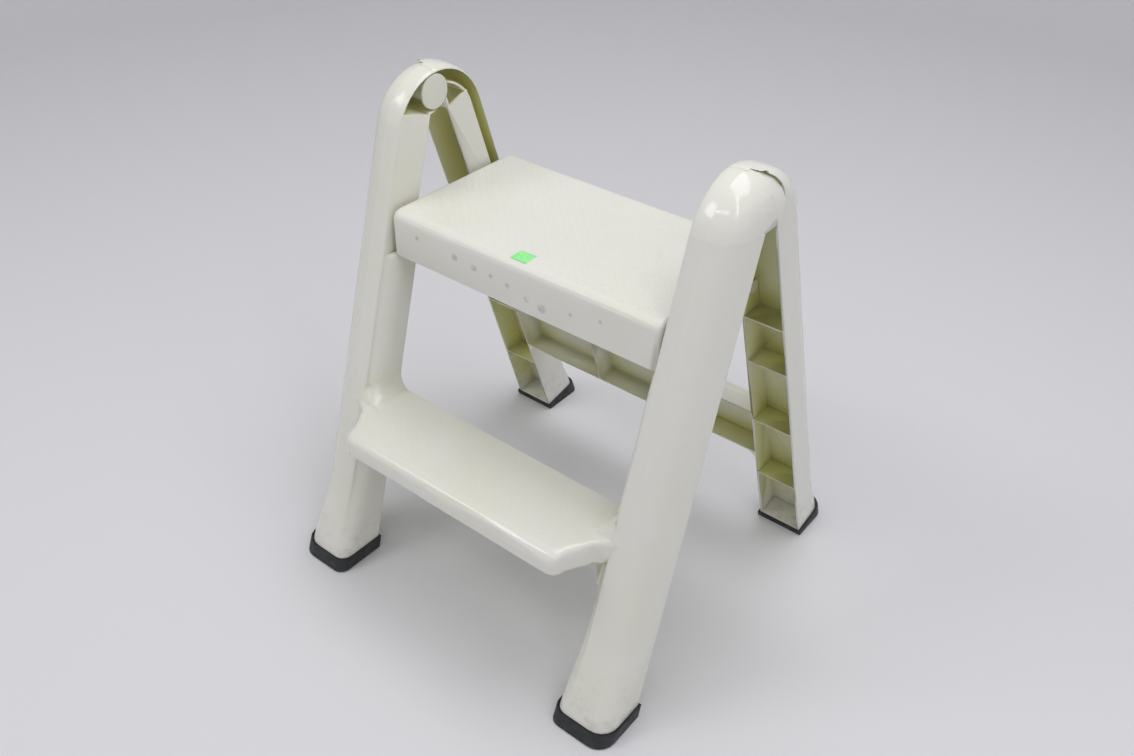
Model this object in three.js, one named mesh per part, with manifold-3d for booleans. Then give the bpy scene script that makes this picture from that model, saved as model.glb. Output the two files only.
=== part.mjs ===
import * as THREE from 'three';
import { mergeVertices } from 'three/addons/utils/BufferGeometryUtils.js';
import Module from 'manifold-3d';

// Folding two-step stool. Millimetres, +Z up, +X across the seat, the front towards -Y.
// Side profiles are drawn from the hinge axis in Y and from the floor in Z. The group is moved at
// the end, so that the middle of the footprint is the origin.

// Overall sizes and clearances
const overall_height = 642;
const clear_gap = 0.4;
const overrun = 40;
const wall = 3;
const rib_wall = 2.4;

// Arch that joins the front leg to the rear leg on each side
const arch_radius = 76;
const arch_axis_y = 8;
const front_tilt_degrees = 16.6;
const rear_tilt_degrees = 19;

// Rounding of the arch and the legs: a low crown inboard, a deep corner outboard
const crown_width = 20;
const crown_depth = 5;
const outboard_depth = 42;
const rear_outboard_corner = 24;
const foot_inner_corner = 15;
const foot_outer_corner = 24;

// Widths, measured from the middle plane and outward from the seat
const seat_half_width = 197;
const seat_side_gap = 5;
const inner_face_x = seat_half_width + seat_side_gap;
const shoulder_reach = 6;
const shoulder_inner_x = seat_half_width - shoulder_reach;
const lower_inner_corner = crown_width + inner_face_x - shoulder_inner_x;
const front_foot_spread = 4;
const front_foot_inner_x = shoulder_inner_x - front_foot_spread;
const front_leg_width = 58;
const outboard_flat = 1;
const outboard_width = front_leg_width - crown_width - outboard_flat;
const front_top_outer_x = inner_face_x + front_leg_width;
const front_foot_outer_x = front_top_outer_x + front_foot_spread;
const rear_leg_width = 54;
const rear_top_outer_x = inner_face_x + rear_leg_width;
const rear_foot_spread = 10;
const rear_foot_outer_x = rear_top_outer_x + rear_foot_spread;
const rear_straight_drop = 97;
const rear_straight_z = overall_height - rear_straight_drop;

// Hinge: a hub tube on the front frame, an eye on the rear frame and a snap-in plug
const hinge_drop = 28.5;
const hinge_z = overall_height - hinge_drop;
const hub_radius = 9;
const hub_bore_radius = 5.4;
const eye_radius = 15.5;
const eye_reach = 36;
const eye_outer_x = inner_face_x + eye_reach;
const plug_radius = 21.4;
const plug_thickness = 3;
const plug_stem_radius = 5;
const plug_stem_length = 34;
const plug_chamfer = 1;
const cap_radius = 28.6;
const cap_setback = 24;
const cap_start_x = inner_face_x + cap_setback;
const cap_bottom_drop = 25.5;
const cap_bottom_z = hinge_z - cap_bottom_drop;

// Front leg, side profile
const front_edge_offset = 2.9;
const front_flare_reach = 12;
const front_flare_height = 130;
const ledge_z = cap_bottom_z;
const shoulder_corner = 8;
const shoulder_edge = 2;
const shoulder_setback = 14;
const front_rib_heights = [66, 122, 178, 300, 370, 472, 532];

// Rear leg, side profile
const rear_edge_offset = 11.7;
const rear_flare_reach = 10;
const rear_flare_height = 90;
const floor_inset = 19.5;
const groove_end_z = 300;
const panel_top_front_z = cap_bottom_z;
const rear_web_thickness = 3;
const rear_rib_heights = [110, 228.6, 345, 422.5];

// Rear crossbar
const bar_bottom_z = 154;
const bar_top_z = 245;
const bar_depth = 37.4;
const bar_rib_x = 64;
const bar_fillet = 14;

// Seat
const seat_front_y = -92.9;
const seat_rear_y = 125;
const seat_top_z = 493.2;
const seat_thickness = 58.2;
const seat_front_corner = 12;
const seat_edge_corner = 5;
const seat_plan_corner = 9;
const seat_rib_x = [-147, -98, -49, 0, 49, 98, 147];
const seat_rib_y = [-38, 16, 70];
const seat_rib_rise = 8;
const seat_pin_z = 462;
const seat_pin_setback = 20;
const seat_boss_radius = 10;
const seat_boss_length = 17;
const pin_radius = 5;
const pin_head_radius = 8.5;
const pin_head_thickness = 2.6;
const pin_reach = 15;

// Lower step
const step_top_z = 245.3;
const step_front_y = -230;
const step_nose_height = 31.8;
const step_nose_corner = 14;
const step_flank_corner = 6;
const step_lip_corner = 6;
const step_flank_setback = 5;
const step_half_flank = shoulder_inner_x - step_flank_setback;
const step_nose_setback = 14;
const step_half_front = step_half_flank - step_nose_setback;
const step_flank_y = -175;
const step_plan_corner = 15;
const step_flank_bend = 12;
const step_fillet = 22;
const gusset_radius = 40;
const step_rib_x = [-140, -84, -28, 28, 84, 140];
const step_rib_drop = 24;

// Feet
const foot_bottom_z = 5.4;
const front_pad_height = 19.7;
const pad_wall = 2.8;
const pad_bottom_corner = 2;
const rear_pad_front_height = 7;
const rear_pad_rear_height = 21;

// How finely curves are divided
const corner_steps = 5;
const edge_steps = 4;
const plan_steps = 4;
const arch_steps = 40;
const round_steps = 20;

// Vertices this close are one vertex, and a triangle this low is a sliver
const merge_tolerance = 0.0001;
const sliver_height = 0.003;
const sliver_rounds = 4;

const wasm = await Module();
wasm.setup();

/** Signed volume of an indexed geometry, to tell which way its faces point. */
function signedVolume(position, index) {
  const a = new THREE.Vector3();
  const b = new THREE.Vector3();
  const c = new THREE.Vector3();
  let sum = 0;
  for (let i = 0; i < index.length; i += 3) {
    a.fromArray(position, index[i] * 3);
    b.fromArray(position, index[i + 1] * 3);
    c.fromArray(position, index[i + 2] * 3);
    sum += a.dot(b.cross(c));
  }
  return sum;
}

/** A closed three.js geometry as a solid that can be joined and cut. */
function toSolid(geometry) {
  const bare = geometry.clone();
  for (const name of Object.keys(bare.attributes)) {
    if (name !== 'position') bare.deleteAttribute(name);
  }
  const merged = mergeVertices(bare, merge_tolerance);
  const position = Float32Array.from(merged.attributes.position.array);
  const index = Uint32Array.from(merged.index.array);
  if (signedVolume(position, index) < 0) {
    for (let i = 0; i < index.length; i += 3) {
      const keep = index[i + 1];
      index[i + 1] = index[i + 2];
      index[i + 2] = keep;
    }
  }
  return new wasm.Manifold(new wasm.Mesh({ numProp: 3, vertProperties: position, triVerts: index }));
}

/** A solid back as a geometry for a mesh. */
function toGeometry(solid) {
  const mesh = solid.getMesh();
  const geometry = new THREE.BufferGeometry();
  geometry.setAttribute('position', new THREE.BufferAttribute(Float32Array.from(mesh.vertProperties), 3));
  geometry.setIndex(new THREE.BufferAttribute(Uint32Array.from(mesh.triVerts), 1));
  geometry.computeVertexNormals();
  return geometry;
}

/** Joins the corners of a triangle mesh that almost meet. */
function weldCorners(points, triangles) {
  const target = points.map((_, i) => i);
  const find = (i) => (target[i] === i ? i : find(target[i]));
  for (const triangle of triangles) {
    triangle.forEach((a, i) => {
      const b = triangle[(i + 1) % 3];
      if (points[a].distanceTo(points[b]) < sliver_height) target[find(b)] = find(a);
    });
  }
  return triangles.map((triangle) => triangle.map(find))
    .filter(([a, b, c]) => a !== b && b !== c && c !== a);
}

/** Turns the longest side of each sliver towards the corner across that side. */
function turnSlivers(points, triangles) {
  const owner = new Map();
  const side = (a, b) => a * points.length + b;
  const claim = (k) => triangles[k].forEach((a, i) => owner.set(side(a, triangles[k][(i + 1) % 3]), k));
  triangles.forEach((_, k) => claim(k));
  const line = new THREE.Line3();
  const foot = new THREE.Vector3();
  triangles.forEach((_, k) => {
    const lengths = triangles[k].map(
      (a, i) => points[a].distanceTo(points[triangles[k][(i + 1) % 3]]));
    const first = lengths.indexOf(Math.max(...lengths));
    const [a, b, tip] = [0, 1, 2].map((i) => triangles[k][(first + i) % 3]);
    line.set(points[a], points[b]).closestPointToPoint(points[tip], true, foot);
    const other = owner.get(side(b, a));
    const across = triangles[other].find((corner) => corner !== a && corner !== b);
    if (foot.distanceTo(points[tip]) > sliver_height || owner.has(side(tip, across))) return;
    owner.delete(side(a, b));
    owner.delete(side(b, a));
    triangles[k] = [a, across, tip];
    triangles[other] = [across, b, tip];
    claim(k);
    claim(other);
  });
}

/** The same solid without the slivers that joining and cutting leave in its mesh. */
function cleaned(solid) {
  const mesh = solid.getMesh();
  const points = Array.from({ length: mesh.numVert }, (_, i) => (
    new THREE.Vector3().fromArray(mesh.vertProperties, i * 3)));
  const corners = Array.from({ length: mesh.numTri }, (_, k) => (
    Array.from(mesh.triVerts.subarray(k * 3, k * 3 + 3))));
  const triangles = weldCorners(points, corners);
  for (let round = 0; round < sliver_rounds; round += 1) turnSlivers(points, triangles);
  return new wasm.Manifold(new wasm.Mesh({
    numProp: 3, vertProperties: mesh.vertProperties, triVerts: Uint32Array.from(triangles.flat()) }));
}

/** The same solid on the other side of the middle plane. */
function mirrored(solid) {
  const geometry = toGeometry(solid);
  geometry.applyMatrix4(new THREE.Matrix4().makeScale(-1, 1, 1));
  return toSolid(geometry);
}

function both(solid) {
  return solid.add(mirrored(solid));
}

function joined(solids) {
  return solids.reduce((sum, solid) => sum.add(solid));
}

const side_basis = new THREE.Matrix4().makeBasis(
  new THREE.Vector3(0, 1, 0), new THREE.Vector3(0, 0, 1), new THREE.Vector3(1, 0, 0));
const front_basis = new THREE.Matrix4().makeBasis(
  new THREE.Vector3(1, 0, 0), new THREE.Vector3(0, 0, 1), new THREE.Vector3(0, -1, 0));

function extruded(shape, depth, steps = corner_steps) {
  return new THREE.ExtrudeGeometry(shape, { depth, bevelEnabled: false, curveSegments: steps });
}

/** A profile drawn in Y and Z, run along X from one plane to another. */
function sideRun(shape, from_x, to_x, steps) {
  const geometry = extruded(shape, to_x - from_x, steps);
  geometry.applyMatrix4(side_basis);
  geometry.translate(from_x, 0, 0);
  return toSolid(geometry);
}

/** A profile drawn in X and Y, run up from one height to another. */
function planRun(shape, from_z, to_z, steps) {
  const geometry = extruded(shape, to_z - from_z, steps);
  geometry.translate(0, 0, from_z);
  return toSolid(geometry);
}

/** A profile drawn in X and Z, run along Y from one plane to another. */
function frontRun(shape, from_y, to_y, steps) {
  const geometry = extruded(shape, to_y - from_y, steps);
  geometry.applyMatrix4(front_basis);
  geometry.translate(0, to_y, 0);
  return toSolid(geometry);
}

/** A box between two corners. */
function block(x0, x1, y0, y1, z0, z1) {
  const geometry = new THREE.BoxGeometry(x1 - x0, y1 - y0, z1 - z0);
  geometry.translate((x0 + x1) / 2, (y0 + y1) / 2, (z0 + z1) / 2);
  return toSolid(geometry);
}

/** Everything on one side between two heights. */
function slab(from_x, to_x, from_z, to_z) {
  return block(from_x, to_x, -overall_height, overall_height, from_z, to_z);
}

/** A cylinder along X about a point of the side view. */
function rod(radius, from_x, to_x, y, z, steps = round_steps) {
  const geometry = new THREE.CylinderGeometry(radius, radius, to_x - from_x, steps);
  geometry.rotateZ(Math.PI / 2);
  geometry.translate((from_x + to_x) / 2, y, z);
  return toSolid(geometry);
}

function polygon(points) {
  return new THREE.Shape(points.map(([a, b]) => new THREE.Vector2(a, b)));
}

/** Points of a quarter of an ellipse, from one angle to another in quarter turns. */
function quarter(center_x, center_y, radius_x, radius_y, from, to) {
  const curve = new THREE.EllipseCurve(
    center_x, center_y, radius_x, radius_y, from * Math.PI / 2, to * Math.PI / 2, to < from);
  return curve.getPoints(corner_steps);
}

/** A closed skin through level rings that all have the same number of points. */
function loft(levels, ring) {
  const rings = levels.map((z) => ring(z));
  const count = rings[0].length;
  const position = [];
  const index = [];
  rings.forEach((points, k) => points.forEach((p) => position.push(p.x, p.y, levels[k])));
  for (let k = 0; k + 1 < rings.length; k += 1) {
    for (let i = 0; i < count; i += 1) {
      const a = k * count + i;
      const b = k * count + (i + 1) % count;
      index.push(a, b, b + count, a, b + count, a + count);
    }
  }
  const last = (rings.length - 1) * count;
  for (const [a, b, c] of THREE.ShapeUtils.triangulateShape(rings[0], [])) {
    index.push(a, c, b);
  }
  for (const [a, b, c] of THREE.ShapeUtils.triangulateShape(rings[rings.length - 1], [])) {
    index.push(last + a, last + b, last + c);
  }
  const geometry = new THREE.BufferGeometry();
  geometry.setAttribute('position', new THREE.Float32BufferAttribute(position, 3));
  geometry.setIndex(index);
  return toSolid(geometry);
}

/** Heights at which a rounded top edge is divided, from where it starts to the top. */
function edgeHeights(top, radius) {
  const shares = Array.from({ length: edge_steps + 1 }, (_, k) => k / edge_steps);
  return shares.map((share) => top - radius * (1 - Math.sin(share * Math.PI / 2)));
}

/** How far an edge of a radius has drawn in at a height above where its rounding starts. */
function edgeInset(rise, radius) {
  const share = THREE.MathUtils.clamp(rise / radius, 0, 1);
  return radius * (1 - Math.sqrt(1 - share * share));
}

/** How far the foot's flare has come at a height, from 0 above it to 1 at the floor. */
function flareShare(z, height) {
  return THREE.MathUtils.smoothstep(1 - z / height, 0, 1);
}

const arch_axis_z = overall_height - arch_radius;
const front_tilt = THREE.MathUtils.degToRad(front_tilt_degrees);
const rear_tilt = THREE.MathUtils.degToRad(rear_tilt_degrees);
const front_touch_z = arch_axis_z + arch_radius * Math.sin(front_tilt);
const rear_touch_z = arch_axis_z + arch_radius * Math.sin(rear_tilt);

/** Front, rear, inner and outer faces of the front leg at a height. */
function frontLegFront(z) {
  const line = (arch_radius + (arch_axis_z - z) * Math.sin(front_tilt)) / Math.cos(front_tilt);
  return arch_axis_y - line - front_flare_reach * flareShare(z, front_flare_height);
}
function frontLegRear(z) {
  return -front_edge_offset - (hinge_z - z) * Math.tan(front_tilt);
}
function frontLegInner(z) {
  return THREE.MathUtils.lerp(front_foot_inner_x, shoulder_inner_x, z / shoulder_z);
}
function frontLegOuter(z) {
  return THREE.MathUtils.lerp(front_foot_outer_x, front_top_outer_x, z / front_touch_z);
}

/** Line parallel to the rear outline, a depth inside it. */
function rearLine(z, depth) {
  const reach = arch_radius - depth + (arch_axis_z - z) * Math.sin(rear_tilt);
  return arch_axis_y + reach / Math.cos(rear_tilt);
}

/** Front, rear and outer faces of the rear leg at a height. */
function rearLegFront(z) {
  return rear_edge_offset + (hinge_z - z) * Math.tan(rear_tilt);
}
function rearLegBack(z) {
  return rearLine(z, 0) + rear_flare_reach * flareShare(z, rear_flare_height);
}
function rearLegOuter(z) {
  return THREE.MathUtils.lerp(
    rear_foot_outer_x, rear_top_outer_x, Math.min(z, rear_straight_z) / rear_straight_z);
}

/** Rounded edges of each stretch of the legs, seen along the leg. */
const front_low_edges = {
  tilt: front_tilt, flare_height: front_flare_height,
  inner_width: lower_inner_corner, inner_depth: lower_inner_corner,
  outer_width: outboard_width, outer_depth: outboard_depth,
};
const front_top_edges = {
  ...front_low_edges, inner_width: crown_width, inner_depth: crown_depth,
};
const rear_edges = {
  tilt: rear_tilt, flare_height: rear_flare_height,
  inner_width: crown_width, inner_depth: crown_depth,
  outer_width: rear_outboard_corner, outer_depth: rear_outboard_corner,
};

/** Radii of the two rounded edges of a leg at a height, seen from above. */
function edgeRadii(z, edges) {
  const share = flareShare(z, edges.flare_height);
  const level = 1 / Math.cos(edges.tilt);
  return {
    inner_w: THREE.MathUtils.lerp(edges.inner_width, foot_inner_corner, share),
    inner_d: THREE.MathUtils.lerp(edges.inner_depth * level, foot_inner_corner, share),
    outer_w: THREE.MathUtils.lerp(edges.outer_width, foot_outer_corner, share),
    outer_d: THREE.MathUtils.lerp(edges.outer_depth * level, foot_outer_corner, share),
  };
}

/** Level section of the front leg: its outside, or with an inset the space in it. */
function frontRing(z, inset, grow, inner = frontLegInner, edges = front_low_edges) {
  const left = inner(z) - grow;
  const right = frontLegOuter(z) + grow;
  const front = frontLegFront(z) - grow;
  const rear = frontLegRear(z) + grow + (inset > 0 ? overrun : 0);
  const r = edgeRadii(z, edges);
  return [
    new THREE.Vector2(left + inset, rear),
    ...quarter(left + r.inner_w, front + r.inner_d, r.inner_w - inset, r.inner_d - inset, 2, 3),
    ...quarter(right - r.outer_w, front + r.outer_d, r.outer_w - inset, r.outer_d - inset, 3, 4),
    new THREE.Vector2(right - inset, rear),
  ];
}

/** Level section of the rear leg, open towards its straight front. */
function rearRing(z, inset, grow) {
  const left = inner_face_x - grow - (inset > 0 ? overrun : 0);
  const right = rearLegOuter(z) + grow;
  const front = rearLegFront(z) - grow - (inset > 0 ? overrun : 0);
  const back = rearLegBack(z) + grow;
  const r = edgeRadii(z, rear_edges);
  const crown_reach = r.inner_w + (inset > 0 ? overrun - inset : 0);
  return [
    new THREE.Vector2(left, front),
    new THREE.Vector2(right - inset, front),
    ...quarter(right - r.outer_w, back - r.outer_d, r.outer_w - inset, r.outer_d - inset, 0, 1),
    ...quarter(inner_face_x - grow + r.inner_w, back - r.inner_d, crown_reach,
      r.inner_d - inset, 1, 2),
  ];
}

/** A dome turned about the arch's axis, or with an inset the space in it. */
function turnedDome(inset, outer_x, corner_width, corner_depth) {
  const from_x = inset > 0 ? inner_face_x - overrun : inner_face_x;
  const crown_center = inner_face_x + crown_width;
  const points = [
    new THREE.Vector2(0, from_x),
    ...(inset > 0 ? [new THREE.Vector2(arch_radius - crown_depth, from_x)] : []),
    ...quarter(arch_radius - crown_depth, crown_center, crown_depth - inset,
      crown_width - inset, 3, 4),
    ...quarter(arch_radius - corner_depth, outer_x - corner_width,
      corner_depth - inset, corner_width - inset, 0, 1),
    new THREE.Vector2(0, outer_x - inset),
  ];
  const geometry = new THREE.LatheGeometry(points, arch_steps);
  geometry.rotateZ(-Math.PI / 2);
  geometry.translate(0, arch_axis_y, arch_axis_z);
  return toSolid(geometry);
}

/** The dome over the front leg and the one over the rear leg. */
function frontDome(inset) {
  return turnedDome(inset, front_top_outer_x, outboard_width, outboard_depth);
}
function rearDome(inset) {
  return turnedDome(inset, rear_top_outer_x, rear_outboard_corner, rear_outboard_corner);
}

const shoulder_z = seat_top_z - seat_thickness - clear_gap;
const arch_top = overall_height + overrun;
const flare_shares = [0.35, 0.51, 0.67, 0.83, 1];
const front_stations = [foot_bottom_z, front_pad_height].concat(
  flare_shares.map((share) => share * front_flare_height));

/** Where the crease lies in the leg's inner corner at a height, and how deep behind the front. */
function creaseAt(z) {
  const r = edgeRadii(z, front_low_edges);
  const left = frontLegInner(z);
  const x = THREE.MathUtils.lerp(
    inner_face_x, left + r.inner_w / 2, flareShare(z, front_flare_height));
  const share = 1 - (x - left) / r.inner_w;
  return { x, depth: r.inner_d * (1 - Math.sqrt(1 - share * share)) };
}

/** Level section of the front leg's outside below the shoulder. The arch's crown runs on down the
 * leg as far as a crease in the rounded inner corner, and the foot's flare takes the crease up. */
function creasedRing(z) {
  const r = edgeRadii(z, front_low_edges);
  const front = frontLegFront(z);
  const right = frontLegOuter(z);
  const rounding = edgeInset(z - (shoulder_z - shoulder_corner), shoulder_corner) / shoulder_corner;
  const left = frontLegInner(z) + shoulder_edge * rounding;
  const center_x = frontLegInner(z) + r.inner_w;
  const width = center_x - left;
  const depth = r.inner_d + shoulder_setback * rounding;
  const crease = creaseAt(z);
  const turn = 2 + Math.acos((center_x - crease.x) / width) / (Math.PI / 2);
  const next = turn + (3 - turn) / (corner_steps + 1);
  const plain = quarter(center_x, front + depth, width, depth, next, 3);
  const crown = crown_depth / Math.cos(front_tilt) * crease.depth / creaseAt(shoulder_z).depth;
  const crowned = quarter(center_x, front + crown, center_x - crease.x, crown, 2, 3);
  const fade = flareShare(z, front_flare_height);
  return [
    new THREE.Vector2(left, frontLegRear(z)),
    ...quarter(center_x, front + depth, width, depth, 2, turn),
    ...crowned.map((point, i) => point.lerp(plain[i], fade)),
    ...quarter(right - r.outer_w, front + r.outer_d, r.outer_w, r.outer_d, 3, 4),
    new THREE.Vector2(right, frontLegRear(z)),
  ];
}

/** The front leg: its outside or, with an inset, the space in it. The seat rests on its shoulder. */
function frontLeg(inset) {
  const top = shoulder_z - inset;
  const lower = inset > 0
    ? loft([0, ...front_stations.slice(1), top], (z) => frontRing(z, inset, 0))
    : loft([...front_stations, ...edgeHeights(top, shoulder_corner)], creasedRing);
  const upper = loft([top, front_touch_z],
    (z) => frontRing(z, inset, 0, () => inner_face_x, front_top_edges));
  return lower.add(upper);
}

/** Height of the ledge in the arch, which lies square to the front leg, at a depth. */
function ledgeAt(y) {
  return ledge_z - (y - frontLegRear(ledge_z)) * Math.tan(front_tilt);
}

/** The front half of the arch, and the cap that covers the hinge from outside. */
function frontTop() {
  const low_z = front_touch_z - overrun / 2;
  const far = arch_radius + overrun;
  const band_area = polygon([
    [-far, low_z], [frontLegRear(low_z), low_z], [frontLegRear(ledge_z), ledge_z],
    [-clear_gap / 2, ledge_z], [-clear_gap / 2, arch_top], [-far, arch_top]]);
  const below = slab(0, front_top_outer_x + overrun, 0, cap_bottom_z);
  const cap = rod(cap_radius, cap_start_x, front_top_outer_x + overrun, 0, hinge_z, arch_steps)
    .subtract(below);
  const keep = sideRun(band_area, inner_face_x - overrun, front_top_outer_x + overrun).add(cap);
  return frontDome(0).intersect(keep);
}

function frontLegShell() {
  const outside = frontLeg(0).add(frontTop());
  const far_x = front_foot_outer_x + overrun;
  const far_y = arch_radius + overrun;
  const cup_rear_y = frontLegRear(ledge_z) - wall;
  const drop = wall / Math.cos(front_tilt);
  const hollow = frontLeg(wall).intersect(sideRun(polygon([
    [-overall_height, -overrun], [far_y, -overrun], [far_y, ledgeAt(far_y) - drop],
    [-far_y, ledgeAt(-far_y) - drop], [-overall_height, ledgeAt(-far_y) - drop]]), 0, far_x));
  const cup = frontDome(wall).intersect(sideRun(polygon([
    [-far_y, ledgeAt(-far_y)], [cup_rear_y, ledgeAt(cup_rear_y)],
    [cup_rear_y, cap_bottom_z + wall], [far_y, cap_bottom_z + wall],
    [far_y, arch_top], [-far_y, arch_top]]), 0, far_x));
  const ribs = front_rib_heights.map((z) => block(
    0, far_x, -overall_height, frontLegRear(z) - wall, z, z + rib_wall));
  const inner_ribs = joined(ribs).intersect(frontLeg(wall / 2)).intersect(frontLeg(0));
  const hub = rod(hub_radius, inner_face_x + plug_thickness + clear_gap, front_top_outer_x,
    0, hinge_z).intersect(frontDome(0));
  const hub_bore = rod(hub_bore_radius, inner_face_x - overrun,
    inner_face_x + plug_thickness + plug_stem_length + wall, 0, hinge_z);
  return outside.subtract(hollow).subtract(cup).add(inner_ribs).add(hub).subtract(hub_bore);
}

const step_rear_y = frontLegRear(step_top_z);

/** Plan of the lower step: a nose in front of the legs, flanks that run into them. */
function stepPlan(front_inset, flank_inset, rear_inset) {
  const shape = new THREE.Shape();
  const front = step_front_y + front_inset;
  const rear = step_rear_y - rear_inset;
  const half = step_half_front - flank_inset;
  const flank = step_half_flank - flank_inset;
  const reach = shoulder_inner_x + lower_inner_corner;
  const bend_front_y = step_flank_y - step_flank_bend;
  const bend_rear_y = step_flank_y + step_flank_bend;
  shape.moveTo(-reach, rear);
  shape.lineTo(-reach, bend_rear_y);
  shape.quadraticCurveTo(-flank, step_flank_y + flank_inset, -flank, bend_front_y);
  shape.lineTo(-half, front + step_plan_corner);
  shape.quadraticCurveTo(-half, front, -half + step_plan_corner, front);
  shape.lineTo(half - step_plan_corner, front);
  shape.quadraticCurveTo(half, front, half, front + step_plan_corner);
  shape.lineTo(flank, bend_front_y);
  shape.quadraticCurveTo(flank, step_flank_y + flank_inset, reach, bend_rear_y);
  shape.lineTo(reach, rear);
  return shape;
}

/** The step's whole form with its rounded edges, or with an inset the space under its top. */
function stepForm(inset) {
  const top = step_top_z - inset;
  const low = step_top_z - step_nose_height - (inset > 0 ? overrun : 0);
  const nose = step_nose_corner - inset;
  const flank = step_flank_corner - inset;
  const lip = inset > 0 ? 0 : step_lip_corner;
  const levels = [low, ...(lip > 0 ? [low + lip / 2, low + lip] : []), ...edgeHeights(top, nose)];
  return loft(levels, (z) => {
    const under = lip > 0 ? edgeInset(low + lip - z, lip) : 0;
    const front = inset + under + edgeInset(z - (top - nose), nose);
    const side = inset + edgeInset(z - (top - flank), flank);
    return stepPlan(front, side, inset).getPoints(plan_steps);
  });
}

function lowerStep() {
  const outside = stepForm(0);
  const ribs = step_rib_x.map((x) => block(
    x - rib_wall / 2, x + rib_wall / 2, step_front_y, step_rear_y,
    step_top_z - step_rib_drop, step_top_z - wall / 2));
  const middle = (step_front_y + step_rear_y) / 2;
  ribs.push(block(-step_half_flank, step_half_flank, middle - rib_wall / 2, middle + rib_wall / 2,
    step_top_z - step_rib_drop, step_top_z - wall / 2));
  return outside.subtract(stepForm(wall)).add(joined(ribs).intersect(outside));
}

/** Curved brackets between the step and the legs, hollow from behind like the legs. */
function stepBracket(inset) {
  const low_z = step_top_z - step_nose_height;
  const leg_x = frontLegInner(low_z);
  const start_x = leg_x - gusset_radius;
  const radius = gusset_radius + inset;
  const shape = new THREE.Shape();
  shape.moveTo(leg_x + crown_width, step_top_z - wall / 2 - inset);
  shape.lineTo(start_x, step_top_z - wall / 2 - inset);
  shape.lineTo(start_x, low_z + inset);
  shape.absarc(start_x, low_z - gusset_radius, radius, Math.PI / 2, 0, true);
  shape.lineTo(leg_x + crown_width, low_z - gusset_radius);
  shape.closePath();
  const from_z = low_z - gusset_radius - overrun;
  const face = (z) => frontLegFront(z) + lower_inner_corner / 2 + inset;
  const back = (z) => frontLegRear(z) + (inset > 0 ? overrun : 0);
  const leaning = sideRun(polygon([
    [face(from_z), from_z], [back(from_z), from_z],
    [back(step_top_z), step_top_z], [face(step_top_z), step_top_z]]),
  0, shoulder_inner_x + crown_width);
  return frontRun(shape, -overall_height, overall_height, corner_steps * 2).intersect(leaning);
}

/** Hollow corner that runs round the leg's inner edge on top of the step. */
function stepFillet() {
  const top = step_top_z + step_fillet;
  const start = step_top_z - wall / 2;
  const levels = [start, ...edgeHeights(-step_top_z, step_fillet).map((z) => -z).reverse()];
  const body = loft(levels, (z) => frontRing(
    z, 0, edgeInset(top - Math.max(z, step_top_z), step_fillet)));
  const leaning = sideRun(polygon([
    [frontLegFront(start), start], [step_rear_y - wall / 2, start], [step_rear_y, step_top_z],
    [frontLegRear(top), top], [frontLegFront(top), top]]),
  0, shoulder_inner_x + lower_inner_corner);
  return body.intersect(leaning);
}

function frontFrame() {
  const leg_space = frontLeg(wall);
  const bracket = stepBracket(0).subtract(stepBracket(wall)).subtract(leg_space);
  const step = lowerStep().subtract(both(leg_space.add(stepBracket(wall))));
  const corners = bracket.add(stepFillet().subtract(leg_space));
  return both(frontLegShell()).add(step).add(both(corners));
}

const rear_flare_shares = [0, 0.11, 0.22, 0.44, 0.7, 1];
const rear_stations = [
  ...rear_flare_shares.map((share) => share * rear_flare_height), rear_straight_z, rear_touch_z];

function rearLeg(inset, grow = 0, stations = rear_stations) {
  return loft(stations, (z) => rearRing(z, inset, grow));
}

/** Strip that runs at a depth inside the rear outline, over the arch and down the leg. */
function innerStrip(depth, thickness) {
  const outer = arch_radius - depth;
  const inner = outer - thickness;
  const start = Math.PI / 2 + Math.asin((arch_axis_y - wall) / outer);
  const shape = new THREE.Shape();
  shape.absarc(arch_axis_y, arch_axis_z, outer, start, rear_tilt, true);
  shape.lineTo(rearLine(0, depth), 0);
  shape.lineTo(rearLine(0, depth + thickness), 0);
  shape.absarc(arch_axis_y, arch_axis_z, inner, rear_tilt, start, false);
  shape.closePath();
  return shape;
}

/** Room for the front frame's cap, from a plane of the rear frame outward. */
function capRoom(from_x) {
  return rod(cap_radius + clear_gap, from_x, rear_foot_outer_x + overrun, 0, hinge_z, arch_steps);
}

/** The rear half of the arch. */
function rearTop() {
  const low_z = rear_touch_z - overrun / 2;
  const far = arch_radius + overrun;
  const area = polygon([
    [clear_gap / 2, arch_top], [clear_gap / 2, hinge_z], [rearLegFront(hinge_z), hinge_z],
    [rearLegFront(low_z), low_z], [far, low_z], [far, arch_top]]);
  return rearDome(0).intersect(
    sideRun(area, inner_face_x - overrun, rear_top_outer_x + overrun));
}

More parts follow.
